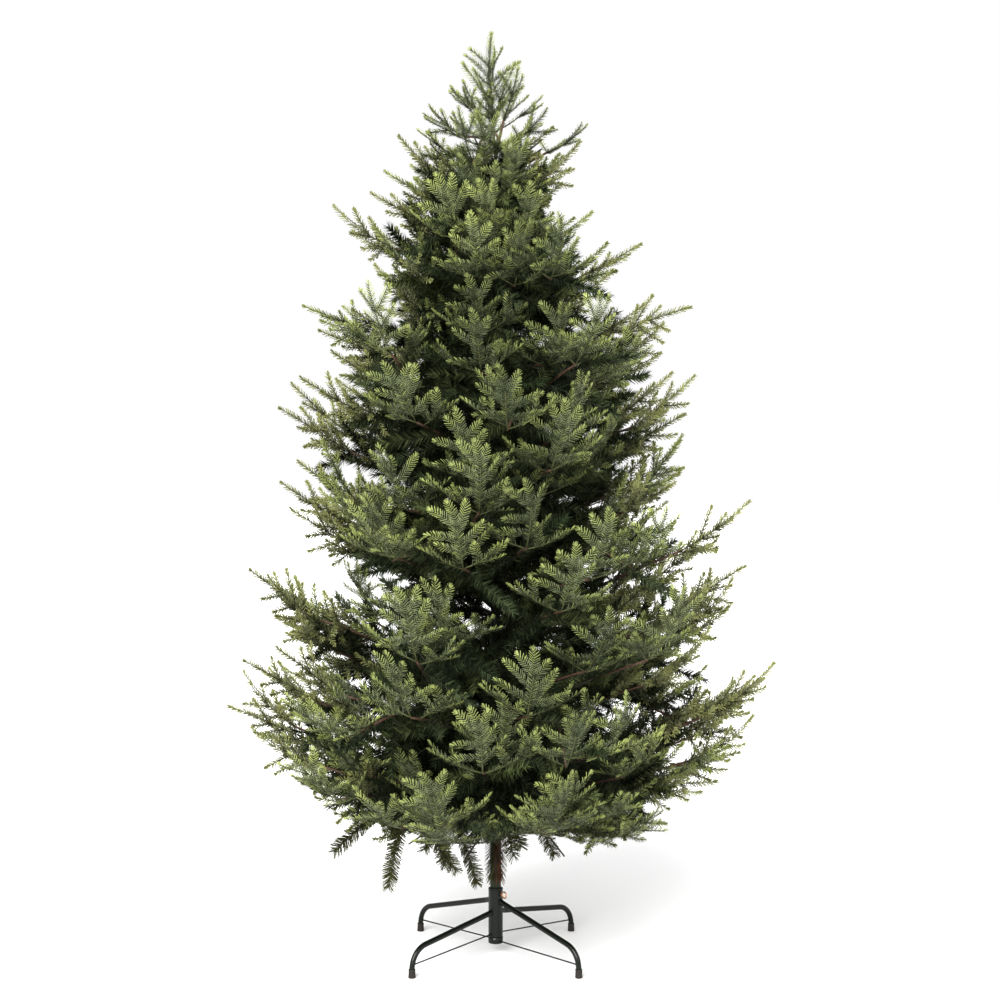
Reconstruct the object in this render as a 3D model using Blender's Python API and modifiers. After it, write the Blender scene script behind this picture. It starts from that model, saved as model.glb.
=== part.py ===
"""An artificial spruce tree, 2.1 m tall, on a steel stand with four bent legs.

The pole stands in the stand's socket. Main boughs leave the pole low down, and each
mass of foliage is one solid: a stem, twigs that branch from it by a seeded rule, and
toothed blades that each stand for a spray of needles. Metres, +Z up, and the origin is
on the floor under the pole's axis.
"""

import math
import random

import bmesh
import bpy
from mathutils import Matrix, Vector
from mathutils.bvhtree import BVHTree

# ---- Driving sizes -------------------------------------------------------------------
TREE_HEIGHT = 2.10
CROWN_REACH = 0.635  # furthest tip from the pole's axis
GAP = 0.0003  # clearance between pieces that meet

# Pole
POLE_SECTIONS = ((0.0125, 0.72), (0.0110, 1.30), (0.0095, 1.80))  # radius, top
POLE_SIDES = 16
POLE_SHOULDER = 0.004  # height of the step between two sections

# Stand
SOCKET_RADIUS = 0.0165
SOCKET_BORE = 0.0130
SOCKET_BOTTOM = 0.0390
SOCKET_TOP = 0.1460
RIM_TOP = 0.150
HUB_BOTTOM = 0.0245
HUB_TOP = SOCKET_BOTTOM - GAP
POLE_FOOT = HUB_TOP + GAP
LEG_RADIUS = 0.006
LEG_SPREAD = 0.255  # from the axis to a foot's centre
LEG_BEND = 0.046  # radius
LEG_LEAN = 8.0  # of the part above a foot
UPPER_LEG = {"height": 0.1195, "slope": 14.8}
LOWER_LEG = {"height": 0.0945, "slope": 8.6}
FOOT_RADIUS = 0.008
FOOT_HEIGHT = 0.019
FOOT_FLOOR = 0.005  # rubber under the leg's end
BRACE_RADIUS = 0.0015
BRACE_OUTER_HEIGHT = 0.0275
BRACE_INSET = 0.0082  # from a foot's centre to its brace's end
LEGS = (  # name, azimuth in degrees, which pair, height of its brace at the socket
    ("front_left", 225.0, LOWER_LEG, 0.0455),
    ("front_right", 315.0, UPPER_LEG, 0.0300),
    ("back_right", 45.0, LOWER_LEG, 0.0455),
    ("back_left", 135.0, UPPER_LEG, 0.0320),
)
EYE_BOLT = {"azimuth": 312.0, "height": 0.1375, "radius": 0.0026, "ring": 0.0070, "wire": 0.0017, "reach": 0.0290}

# Crown: rings of boughs up the pole. Two rings at a time make one tier of foliage masses, each of
# which holds one bough of the lower ring and one of the upper.
RINGS = (  # height on the pole, height of the tips, reach of the tips
    (0.300, 0.360, 0.500),
    (0.365, 0.490, 0.590),
    (0.445, 0.615, 0.635),
    (0.620, 0.850, 0.580),
    (0.770, 1.010, 0.565),
    (0.920, 1.145, 0.475),
    (1.070, 1.285, 0.490),
    (1.220, 1.455, 0.450),
    (1.370, 1.620, 0.380),
    (1.510, 1.710, 0.275),
    (1.630, 1.865, 0.230),
    (1.750, 1.970, 0.180),
)
TIERS = (  # masses, azimuth of the first, length of its boughs as a part of the way to the tips
    (6, 30.0, 0.0),
    (6, 0.0, 0.20),
    (5, 36.0, 0.20),
    (5, 0.0, 0.0),
    (4, 45.0, 0.0),
    (4, 0.0, 0.0),
)
FORK_PLACE = 0.32  # of the way to the tips
BOUGH_SPLIT = 0.22  # how far a mass's two boughs swing apart, as part of its angle
SKIRT_DROP = 0.15  # how far foliage hangs under the lowest ring
SKIRT_FLOOR = 0.156
WRAP_RADIUS, WRAP_ROOT, WRAP_TEETH = 0.021, 0.0155, 9  # the tuft round the pole's foot
WRAP_HEIGHTS = (0.1545, 0.275)
POLE_CLEARANCE = 0.024  # between foliage and the pole's axis
SPACE_MARGIN = 0.004  # foliage keeps this far inside its own space
LIMB_RADIUS = 0.0058
LIMB_TIP_RADIUS = 0.0042
BLADE_LENGTH = 0.235
BLADE_WIDTH = 0.165
BLADE_THICKNESS = 0.0070
SIDE_BLADES = (  # place along a bough, angle from it, size, lift of its tip in degrees
    (0.84, 42.0, 0.92, 6.0),
    (0.40, -52.0, 0.96, -12.0),
)
INNER_BLADES = (  # the same along the stem they share
    (0.30, 15.0, 0.90, 46.0),
    (0.50, -30.0, 0.90, -48.0),
    (0.80, 66.0, 0.90, 14.0),
)
SEED = 7


# ---- Materials -----------------------------------------------------------------------
def make_material(name, colour, roughness, metallic=0.0):
    material = bpy.data.materials.new(name)
    material.use_nodes = True
    shader = material.node_tree.nodes["Principled BSDF"]
    shader.inputs["Base Color"].default_value = (*colour, 1.0)
    shader.inputs["Roughness"].default_value = roughness
    shader.inputs["Metallic"].default_value = metallic
    return material


# ---- Shapes --------------------------------------------------------------------------
def add_object(name, mesh, collection, material=None):
    obj = bpy.data.objects.new(name, mesh)
    collection.objects.link(obj)
    if material:
        mesh.materials.append(material)
    return obj


def turned(name, profile, collection, material, steps=24):
    """A ring or disc turned about Z from (radius, height) points, down the outer side first."""
    mesh = bpy.data.meshes.new(name)
    closed = min(radius for radius, _ in profile) > 0
    count = len(profile)
    edges = [(i, (i + 1) % count) for i in range(count if closed else count - 1)]
    mesh.from_pydata([(radius, 0, height) for radius, height in profile], edges, [])
    obj = add_object(name, mesh, collection, material)
    screw = obj.modifiers.new("Turn", "SCREW")
    screw.steps = screw.render_steps = steps
    screw.use_merge_vertices = True
    screw.merge_threshold = 0.00005
    screw.use_smooth_shade = False
    return obj


def polar(radius, azimuth, height):
    angle = math.radians(azimuth)
    return Vector((radius * math.cos(angle), radius * math.sin(angle), height))


def tube(name, points, radii, collection, material, resolution=2):
    """A mesh tube along points, with a radius at each."""
    curve = bpy.data.curves.new(name, "CURVE")
    curve.dimensions = "3D"
    curve.bevel_depth = 1.0
    curve.bevel_resolution = resolution
    curve.use_fill_caps = True
    spline = curve.splines.new("POLY")
    spline.points.add(len(points) - 1)
    for spot, point, radius in zip(spline.points, points, radii):
        spot.co = (*point, 1.0)
        spot.radius = radius
        spot.tilt = math.pi / 4 if resolution == 0 else 0
    guide = bpy.data.objects.new(name + "_guide", curve)
    collection.objects.link(guide)
    bpy.context.view_layer.update()
    evaluated = guide.evaluated_get(bpy.context.evaluated_depsgraph_get())
    mesh = bpy.data.meshes.new_from_object(evaluated)
    bpy.data.objects.remove(guide)
    shape = bmesh.new()
    shape.from_mesh(mesh)
    bmesh.ops.remove_doubles(shape, verts=shape.verts, dist=0.00001)
    bmesh.ops.recalc_face_normals(shape, faces=shape.faces)
    shape.to_mesh(mesh)
    shape.free()
    return add_object(name, mesh, collection, material)


def boolean(obj, operation, other, solver="EXACT"):
    """Applies a Boolean with an object or a whole collection."""
    modifier = obj.modifiers.new("Boolean", "BOOLEAN")
    modifier.operation = operation
    modifier.solver = solver
    if isinstance(other, bpy.types.Collection):
        modifier.operand_type = "COLLECTION"
        modifier.collection = other
    else:
        modifier.object = other
    bpy.context.view_layer.update()
    evaluated = obj.evaluated_get(bpy.context.evaluated_depsgraph_get())
    mesh = bpy.data.meshes.new_from_object(evaluated)
    obj.modifiers.clear()
    obj.data = mesh


def keep_largest_shell(obj):
    """Drops the pockets that crossing blades close off, and the specks where they only just cross.

    Says whether every edge still has two faces.
    """
    shape = bmesh.new()
    shape.from_mesh(obj.data)
    bmesh.ops.remove_doubles(shape, verts=shape.verts, dist=0.000003)
    bmesh.ops.dissolve_degenerate(shape, edges=shape.edges, dist=0.000001)
    left, shells = set(shape.faces), []
    while left:
        found, edge = set(), [left.pop()]
        while edge:
            face = edge.pop()
            found.add(face)
            for side in face.edges:
                for other in side.link_faces:
                    if other in left:
                        left.remove(other)
                        edge.append(other)
        shells.append(found)
    largest = max(shells, key=lambda faces: sum(face.calc_area() for face in faces))
    dropped = [face for faces in shells if faces is not largest for face in faces]
    bmesh.ops.delete(shape, geom=dropped, context="FACES")
    sound = all(len(edge.link_faces) == 2 for edge in shape.edges)
    shape.to_mesh(obj.data)
    shape.free()
    return sound


def cutter(name, profile, collection, steps=24):
    obj = turned(name, profile, collection, None, steps)
    obj.hide_render = True
    obj.display_type = "WIRE"
    return obj


# ---- Stand ---------------------------------------------------------------------------
def build_socket(parts, materials):
    steel, plastic = materials["stand_steel"], materials["black_plastic"]
    turned("stand_socket", [(SOCKET_RADIUS, SOCKET_TOP), (SOCKET_RADIUS, SOCKET_BOTTOM),
                            (SOCKET_BORE, SOCKET_BOTTOM), (SOCKET_BORE, SOCKET_TOP)], parts, steel)
    turned("socket_rim", [(SOCKET_RADIUS - 0.0008, RIM_TOP), (SOCKET_RADIUS, RIM_TOP - 0.001),
                          (SOCKET_RADIUS, SOCKET_TOP + GAP), (SOCKET_BORE, SOCKET_TOP + GAP),
                          (SOCKET_BORE, RIM_TOP)], parts, plastic)
    turned("brace_hub", [(0, HUB_TOP), (SOCKET_RADIUS, HUB_TOP), (SOCKET_RADIUS, HUB_BOTTOM + 0.0015),
                         (SOCKET_RADIUS - 0.0015, HUB_BOTTOM), (0, HUB_BOTTOM)], parts, steel)


def leg_path(pair):
    """(distance from the axis, height) of a leg: a straight run, a bend and a drop into the foot."""
    slope, lean = math.radians(pair["slope"]), math.radians(LEG_LEAN)
    run, drop = Vector((math.cos(slope), -math.sin(slope))), Vector((math.sin(lean), -math.cos(lean)))
    start, ankle = Vector((SOCKET_RADIUS, pair["height"])), Vector((LEG_SPREAD, FOOT_HEIGHT + 0.001))
    across = ankle - start
    distance = (across.x * drop.y - across.y * drop.x) / (run.x * drop.y - run.y * drop.x)
    corner = start + run * distance
    turn = math.pi / 2 - slope - lean
    bend_start = corner - run * LEG_BEND * math.tan(turn / 2)
    centre = bend_start - LEG_BEND * Vector((math.sin(slope), math.cos(slope)))
    path = [start - run * SOCKET_RADIUS]
    steps = 6
    for i in range(steps + 1):
        angle = math.pi / 2 - slope - turn * i / steps
        path.append(centre + LEG_BEND * Vector((math.cos(angle), math.sin(angle))))
    return path + [ankle, Vector((LEG_SPREAD, FOOT_FLOOR + GAP))]


def build_legs(parts, cutters, materials):
    for name, azimuth, pair, brace_height in LEGS:
        points = [polar(distance, azimuth, height) for distance, height in leg_path(pair)]
        leg = tube("leg_" + name, points, [LEG_RADIUS] * len(points), parts, materials["stand_steel"])
        reach = SOCKET_RADIUS + GAP
        hub = cutter("cut_" + name, [(0, RIM_TOP), (reach, RIM_TOP), (reach, 0.05), (0, 0.05)], cutters)
        boolean(leg, "DIFFERENCE", hub)

        foot = foot_cap(name, parts, materials)
        foot.location = polar(LEG_SPREAD, azimuth, 0)

        inner = polar(SOCKET_RADIUS + GAP + 0.0001, azimuth, brace_height)
        outer = polar(LEG_SPREAD - BRACE_INSET, azimuth, BRACE_OUTER_HEIGHT)
        tube("brace_" + name, [inner, outer], [BRACE_RADIUS] * 2, parts, materials["stand_steel"], 1)


def foot_cap(name, parts, materials):
    bore = LEG_RADIUS + GAP * 1.8
    profile = [(0, FOOT_FLOOR), (bore, FOOT_FLOOR), (bore, FOOT_HEIGHT), (FOOT_RADIUS - 0.001, FOOT_HEIGHT),
               (FOOT_RADIUS - 0.0004, FOOT_HEIGHT - 0.002), (FOOT_RADIUS, 0.001), (FOOT_RADIUS - 0.001, 0), (0, 0)]
    return turned("foot_" + name, profile, parts, materials["rubber"], 12)


def build_eye_bolt(parts, materials):
    azimuth, height = EYE_BOLT["azimuth"], EYE_BOLT["height"]
    start = polar(SOCKET_RADIUS + GAP + 0.0002, azimuth, height)
    centre = polar(EYE_BOLT["reach"], azimuth, height)
    end = polar(EYE_BOLT["reach"] - EYE_BOLT["ring"] + EYE_BOLT["wire"] * 0.5, azimuth, height)
    bolt = tube("eye_bolt", [start, end], [EYE_BOLT["radius"]] * 2, parts, materials["yellow_zinc"], 2)
    bpy.ops.mesh.primitive_torus_add(
        major_radius=EYE_BOLT["ring"], minor_radius=EYE_BOLT["wire"], major_segments=12, minor_segments=6,
        location=centre, rotation=(math.pi / 2, 0, math.radians(azimuth)))
    ring = bpy.context.object
    boolean(bolt, "UNION", ring)
    bpy.data.objects.remove(ring)


# ---- Pole ----------------------------------------------------------------------------
def pole_profile(clearance=0.0):
    """(radius, height) down the outer side from the top, closed on the axis."""
    top = POLE_SECTIONS[-1][1]
    profile = [(0, top), (POLE_SECTIONS[-1][0] + clearance, top)]
    for upper, lower in zip(POLE_SECTIONS[::-1], POLE_SECTIONS[-2::-1]):
        profile.append((upper[0] + clearance, lower[1] + POLE_SHOULDER))
        profile.append((lower[0] + clearance, lower[1]))
    foot = POLE_SECTIONS[0][0] + clearance
    return profile + [(foot, POLE_FOOT), (0, POLE_FOOT)]


def build_pole(parts, materials):
    return turned("trunk_pole", pole_profile(), parts, materials["pole_green"], POLE_SIDES)


def build_wrap(parts, materials):
    """The tuft of needles that hangs round the pole's foot: a toothed tube."""
    bottom, top = WRAP_HEIGHTS
    count = WRAP_TEETH * 2
    inner = POLE_SECTIONS[0][0] + GAP * 2
    points, faces = [], []
    for height in (bottom, top):
        for radius_out, radius_in in ((WRAP_RADIUS, WRAP_ROOT), (inner, inner)):
            for i in range(count):
                points.append(polar(radius_out if i % 2 else radius_in, i * 360 / count, height))
    for i in range(count):
        j = (i + 1) % count
        low_out, low_in, high_out, high_in = 0, count, 2 * count, 3 * count
        faces.append((low_out + i, low_out + j, high_out + j, high_out + i))
        faces.append((low_in + j, low_in + i, high_in + i, high_in + j))
        faces.append((high_out + i, high_out + j, high_in + j, high_in + i))
        faces.append((low_out + j, low_out + i, low_in + i, low_in + j))
    mesh = bpy.data.meshes.new("foliage_foot")
    mesh.from_pydata(points, [], faces)
    add_object("foliage_foot", mesh, parts, materials["needles"])


# ---- Foliage -------------------------------------------------------------------------
def blade_mesh(material):
    """A flat blade along +X with two swept teeth a side and a thick root, one unit in each size."""
    half = [(0.0, 0.016), (0.54, 0.50), (0.50, 0.20), (0.78, 0.34)]
    outline = half + [(1.0, 0.0)] + [(x, -y) for x, y in reversed(half)]
    count = len(outline)
    points = [(x, y, 0) for x, y in outline]
    points += [(0.45, 0, 0.5), (0.45, 0, -0.5), (0, 0, 0.25), (0, 0, -0.25)]
    top, bottom, root_top, root_bottom = range(count, count + 4)
    faces = []
    for i in range(count - 1):
        faces += [(i + 1, i, top), (i, i + 1, bottom)]
    last = count - 1
    faces += [(root_top, last, top), (0, root_top, top), (last, root_bottom, bottom), (root_bottom, 0, bottom)]
    faces += [(0, last, root_top), (last, 0, root_bottom)]
    mesh = bpy.data.meshes.new("blade")
    mesh.from_pydata(points, [], faces)
    mesh.materials.append(material)
    return mesh


def ring_height(index, distance):
    """Height at a distance from the axis of the line from a ring's foot to its tips."""
    foot, tip, reach = RINGS[index]
    return foot + (tip - foot) * distance / reach


def border_height(tier, distance):
    """Height of the surface between a tier of masses and the one above it."""
    if tier < 0:
        return max(ring_height(0, distance) - SKIRT_DROP, SKIRT_FLOOR)
    if tier == len(TIERS) - 1:
        return ring_height(len(RINGS) - 1, distance) + 0.055
    return (ring_height(tier * 2 + 1, distance) + ring_height(tier * 2 + 2, distance)) / 2


class Space:
    """The wedge that one mass keeps to: between two borders, two azimuths and the reach."""

    def __init__(self, tier, azimuth, half_angle, reach):
        self.tier = tier
        self.out = polar(1, azimuth, 0)
        self.side = polar(1, azimuth + 90, 0)
        self.slope = math.tan(math.radians(half_angle))
        self.reach = reach

    def holds(self, points):
        for point in points:
            distance = math.hypot(point.x, point.y)
            low = border_height(self.tier - 1, distance) + SPACE_MARGIN
            high = border_height(self.tier, distance) - SPACE_MARGIN
            if not low < point.z < high or not POLE_CLEARANCE < distance < self.reach:
                return False
            if abs(point @ self.side) > (point @ self.out) * self.slope - SPACE_MARGIN:
                return False
        return True


class LeaderSpace:
    """The space of the leader: everything above the top tier's masses."""

    def holds(self, points):
        last = len(TIERS) - 1
        return all(
            point.z > border_height(last, math.hypot(point.x, point.y)) + SPACE_MARGIN
            and point.z <= TREE_HEIGHT + 0.0001
            for point in points)


def curve_points(start, ahead, end, steps):
    """Points of a limb that leaves start along ahead and bends to end."""
    middle = start + ahead * (end - start).length * 0.45
    points = []
    for i in range(steps + 1):
        t = i / steps
        points.append(start * (1 - t) ** 2 + middle * 2 * t * (1 - t) + end * t ** 2)
    return points


def point_at(points, share):
    place = share * (len(points) - 1)
    index = min(int(place), len(points) - 2)
    return points[index].lerp(points[index + 1], place - index), (points[index + 1] - points[index]).normalized()


def swung(direction, angle, lift):
    """A direction turned sideways by angle and raised by lift, in degrees."""
    side = direction.cross(Vector((0, 0, 1))).normalized()
    upper = side.cross(direction).normalized()
    angle, lift = math.radians(angle), math.radians(lift)
    flat = direction * math.cos(angle) - side * math.sin(angle)
    return (flat * math.cos(lift) + upper * math.sin(lift)).normalized()


class Mass:
    """Collects a mass's limbs and blades, then joins them into one solid."""

    def __init__(self, name, space, blade, materials):
        self.name, self.space, self.blade, self.materials = name, space, blade, materials
        self.collection = bpy.data.collections.new(name + "_pieces")
        bpy.context.scene.collection.children.link(self.collection)
        self.stem, self.trees = None, []

    def add_limb(self, points, first_radius, last_radius):
        steps = len(points) - 1
        radii = [first_radius + (last_radius - first_radius) * i / steps for i in range(steps + 1)]
        limb = tube(self.name, points, radii, self.collection, self.materials["bark_wrap"], 0)
        if not self.stem:
            self.stem = limb
            self.collection.objects.unlink(limb)
        self.trees.append(BVHTree.FromPolygons([v.co for v in limb.data.vertices],
                                               [tuple(p.vertices) for p in limb.data.polygons]))
        return limb

    def add_blade(self, base, direction, size, tilt=0.0):
        """A blade that grows from base along direction, its flat side level but for the tilt."""
        side = Vector((0, 0, 1)).cross(direction)
        side = side.normalized() if side.length > 0.2 else Vector((1, 0, 0))
        width = Matrix.Rotation(math.radians(tilt), 3, direction) @ side
        normal = direction.cross(width).normalized()
        width = normal.cross(direction).normalized()
        frame = Matrix.Identity(4)
        frame.col[0].xyz = direction * BLADE_LENGTH * size
        frame.col[1].xyz = width * BLADE_WIDTH * size
        frame.col[2].xyz = normal * BLADE_THICKNESS
        frame.translation = base
        corners = [frame @ vertex.co for vertex in self.blade.vertices]
        if not self.space.holds([c for c, v in zip(corners, self.blade.vertices) if v.co.x > 0.25]):
            return False
        free = [corner.lerp(frame @ Vector((1, 0, 0)), 0.16) for corner in corners]
        polygons = [tuple(p.vertices) for p in self.blade.polygons]
        clear = BVHTree.FromPolygons(free, polygons)
        if any(clear.overlap(tree) for tree in self.trees):
            return False
        self.trees.append(BVHTree.FromPolygons(corners, polygons))
        piece = bpy.data.objects.new("blade", self.blade)
        self.collection.objects.link(piece)
        piece.matrix_world = frame
        return True

    def try_blade(self, base, direction, angle, size, lift, tilt):
        """A side blade, tried again lower, higher and smaller until it fits."""
        for share, more_lift, more_angle in ((1, 0, 0), (1, 14, 0), (1, -14, 0), (1, 0, -12), (0.8, 0, 0),
                                             (0.8, 18, -10), (0.8, -18, -10), (0.62, 8, 6), (0.62, -12, -6)):
            sign = 1 if angle > 0 else -1
            aim = swung(direction, angle + sign * more_angle, lift + more_lift)
            if self.add_blade(base, aim, size * share, tilt):
                return True
        return False

    def unite(self, pole_cutter):
        self.stem.data = self.bare.copy()
        boolean(self.stem, "UNION", self.collection, "MANIFOLD")
        if pole_cutter:
            boolean(self.stem, "DIFFERENCE", pole_cutter, "MANIFOLD")
        return keep_largest_shell(self.stem)

    def join(self, parts, pole_cutter=None):
        """Unites the pieces. A blade that only grazes another spoils the union, so it's left out."""
        parts.objects.link(self.stem)
        self.bare = self.stem.data.copy()
        pieces = list(self.collection.objects)
        if not self.unite(pole_cutter):
            for piece in [piece for piece in reversed(pieces) if piece.data == self.blade]:
                self.collection.objects.unlink(piece)
                if self.unite(pole_cutter):
                    break
                self.collection.objects.link(piece)
        print(self.name, len(self.collection.objects), "of", len(pieces), "pieces")
        for obj in pieces:
            bpy.data.objects.remove(obj)
        bpy.data.collections.remove(self.collection)
        return self.stem


def dress_bough(mass, points, size, rng):
    """A blade at a bough's tip and side blades behind it."""
    tip, ahead = point_at(points, 1.0)
    mass.try_blade(tip, ahead, rng.uniform(-3, 3), size, 4, rng.uniform(-30, 30))
    add_sides(mass, points, size, rng, SIDE_BLADES)


def add_sides(mass, points, size, rng, stations):
    mirror = rng.choice((-1, 1))
    for share, angle, part, lift in stations:
        base, ahead = point_at(points, share)
        tilt = rng.choice((-1, 1)) * rng.uniform(30, 60)
        mass.try_blade(base, ahead, (angle + rng.uniform(-5, 5)) * mirror, size * part, lift + rng.uniform(-5, 5), tilt)


def build_tier(tier, parts, blade, pole_cutter, materials):
    masses, first, limb_share = TIERS[tier]
    half_angle = 180 / masses
    lower, upper = RINGS[tier * 2], RINGS[tier * 2 + 1]
    scale = (lower[2] / CROWN_REACH) ** 0.35
    for number in range(masses):
        azimuth = first + number * 360 / masses
        rng = random.Random(SEED * 1000 + tier * 50 + number)
        space = Space(tier, azimuth, half_angle, CROWN_REACH)
        tag = f"{tier + 1}_{number + 1}"
        swing = half_angle * 2 * BOUGH_SPLIT
        ends = []
        for ring, side in ((lower, -1), (upper, 1)):
            reach = ring[2] * rng.uniform(0.95, 1.0)
            tip = polar(reach, azimuth + side * swing + rng.uniform(-3, 3), ring[1] + rng.uniform(-0.012, 0.012))
            ends.append(tip)
        foot_height = lower[0] * 0.6 + upper[0] * 0.4
        foot = Vector((0, 0, foot_height))
        middle = (ends[0] + ends[1]) / 2
        ahead = (middle - foot).normalized()
        length = (middle - foot).length
        fork = foot + ahead * length * FORK_PLACE
        mass = Mass("foliage_" + tag, space, blade, materials)
        stem = [foot, fork]
        if limb_share:
            whole = [foot, foot + ahead * length * limb_share]
            bough = tube("bough_" + tag, whole, [LIMB_RADIUS, LIMB_RADIUS * 0.9], parts, materials["bark_wrap"], 1)
            boolean(bough, "DIFFERENCE", pole_cutter)
            stem[0] = whole[1] + ahead * GAP
        limbs = []
        for end in ends:
            direction = (end - fork).normalized()
            tip = end - direction * BLADE_LENGTH * scale * 0.97
            root = stem[1] - ahead * 0.0035 * len(limbs)
            points = curve_points(root, (ahead + direction) / 2, tip, 2)
            if limbs:
                mass.add_limb(points, LIMB_RADIUS * 0.66, LIMB_TIP_RADIUS * 0.95)
            else:
                mass.add_limb(stem[:1] + points, LIMB_RADIUS * 0.98, LIMB_TIP_RADIUS)
            limbs.append(points)
        for points in limbs:
            dress_bough(mass, points, scale, rng)
        add_sides(mass, stem, scale, rng, INNER_BLADES)
        if tier == 0:
            for points, drop in ((limbs[0], -44), (limbs[1], -34)):
                base, ahead = point_at(points, 0.25)
                mass.try_blade(base, ahead, rng.uniform(-25, 25), 0.80, drop, rng.uniform(-30, 30))
        mass.join(parts, None if limb_share else pole_cutter)


def build_leader(parts, blade, materials):
    """The top of the tree: an upright stem with rings of blades."""
    size = 0.62
    foot = POLE_SECTIONS[-1][1] + GAP
    top = TREE_HEIGHT - BLADE_LENGTH * size
    points = [Vector((0, 0, foot + (top - foot) * i / 2)) for i in range(3)]
    rng = random.Random(SEED)
    mass = Mass("foliage_leader", LeaderSpace(), blade, materials)
    mass.add_limb(points, LIMB_RADIUS, LIMB_TIP_RADIUS)
    mass.add_blade(points[-1], Vector((0, 0, 1)), size)
    count = 13
    for number in range(count):
        share = 0.16 + 0.80 * number / (count - 1)
        base, _ = point_at(points, share)
        pitch, azimuth = math.radians(46 + 16 * share), number * 137.5 + rng.uniform(-8, 8)
        aim = polar(math.cos(pitch), azimuth, math.sin(pitch))
        mass.try_blade(base, aim, rng.uniform(-3, 3), size * (1.1 - 0.3 * share), 0, rng.uniform(-25, 25))
    return mass.join(parts)


def main():
    for obj in list(bpy.data.objects):
        bpy.data.objects.remove(obj)
    scene = bpy.context.scene
    parts = bpy.data.collections.new("spruce_tree")
    cutters = bpy.data.collections.new("cutters")
    for collection in (parts, cutters):
        scene.collection.children.link(collection)
    materials = {
        "stand_steel": make_material("stand_steel", (0.020, 0.035, 0.026), 0.35),
        "black_plastic": make_material("black_plastic", (0.012, 0.012, 0.012), 0.5),
        "rubber": make_material("rubber", (0.015, 0.015, 0.015), 0.7),
        "yellow_zinc": make_material("yellow_zinc", (0.55, 0.36, 0.20), 0.3, 1.0),
        "pole_green": make_material("pole_green", (0.025, 0.050, 0.032), 0.45),
        "bark_wrap": make_material("bark_wrap", (0.16, 0.070, 0.035), 0.7),
        "needles": make_material("needles", (0.095, 0.150, 0.055), 0.6),
    }
    build_socket(parts, materials)
    build_legs(parts, cutters, materials)
    build_eye_bolt(parts, materials)
    build_pole(parts, materials)
    clear = pole_profile(GAP)
    pole_cutter = cutter("cut_pole", clear, cutters, POLE_SIDES)
    build_wrap(parts, materials)
    blade = blade_mesh(materials["needles"])
    for tier in range(len(TIERS)):
        build_tier(tier, parts, blade, pole_cutter, materials)
    build_leader(parts, blade, materials)


main()
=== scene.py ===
import bpy
import random
import numpy as np
from math import asin, cos, pi, radians, sin, sqrt, tan
from mathutils import Matrix, Vector


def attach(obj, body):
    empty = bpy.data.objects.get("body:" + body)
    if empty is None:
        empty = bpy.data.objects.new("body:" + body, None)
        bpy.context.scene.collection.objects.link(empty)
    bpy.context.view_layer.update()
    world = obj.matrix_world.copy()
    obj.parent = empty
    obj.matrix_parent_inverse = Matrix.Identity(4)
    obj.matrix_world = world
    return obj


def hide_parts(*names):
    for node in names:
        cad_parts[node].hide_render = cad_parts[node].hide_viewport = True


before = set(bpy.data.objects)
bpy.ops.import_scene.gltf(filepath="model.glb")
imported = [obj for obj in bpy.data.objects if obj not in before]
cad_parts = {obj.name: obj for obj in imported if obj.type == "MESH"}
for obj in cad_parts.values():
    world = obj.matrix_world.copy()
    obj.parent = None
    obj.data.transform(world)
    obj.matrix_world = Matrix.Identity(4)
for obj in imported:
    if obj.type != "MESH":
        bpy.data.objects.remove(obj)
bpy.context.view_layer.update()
nodeNames = sorted(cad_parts)
goldenAngle = 137.5  # degrees from one shoot or needle to the next

frondTones = {  # tone: colour near the wire, along the finger, at its end
    # shade is a darker tone dealt mostly to inner fronds: painted shade
    "shade": [(0.056, 0.07, 0.04), (0.112, 0.13, 0.069), (0.188, 0.216, 0.077)],
    "plain": [(0.078, 0.094, 0.052), (0.158, 0.181, 0.094), (0.254, 0.29, 0.104)],
    "fresh": [(0.094, 0.112, 0.058), (0.198, 0.225, 0.108), (0.306, 0.346, 0.12)],
    # edge is more olive and darker, for spears at the sides; the olive is the needles' own hue, the darkening
    # is painted shade
    "edge": [(0.08, 0.085, 0.043), (0.165, 0.173, 0.084), (0.242, 0.254, 0.104)],
    "olive": [(0.116, 0.092, 0.05), (0.187, 0.173, 0.085), (0.262, 0.266, 0.099)],
}
twigTones = {  # tone: colour inside, and a lighter one at the ends that is partly a painted highlight
    "deep": [(0.008, 0.013, 0.005), (0.032, 0.045, 0.02)],
    "pine": [(0.014, 0.02, 0.008), (0.05, 0.066, 0.03)],
    "moss": [(0.024, 0.03, 0.01), (0.08, 0.098, 0.038)],
    "rust": [(0.059, 0.025, 0.012), (0.134, 0.059, 0.027)],
    "tuft": [(0.038, 0.037, 0.014), (0.086, 0.092, 0.034)],
}


def plainFinish(name, colour, roughness, specular):
    material = bpy.data.materials.new(name)
    material.use_nodes = True
    shader = material.node_tree.nodes["Principled BSDF"]
    shader.inputs["Base Color"].default_value = (*colour, 1)
    shader.inputs["Roughness"].default_value = roughness
    shader.inputs["Specular IOR Level"].default_value = specular
    return material


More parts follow.
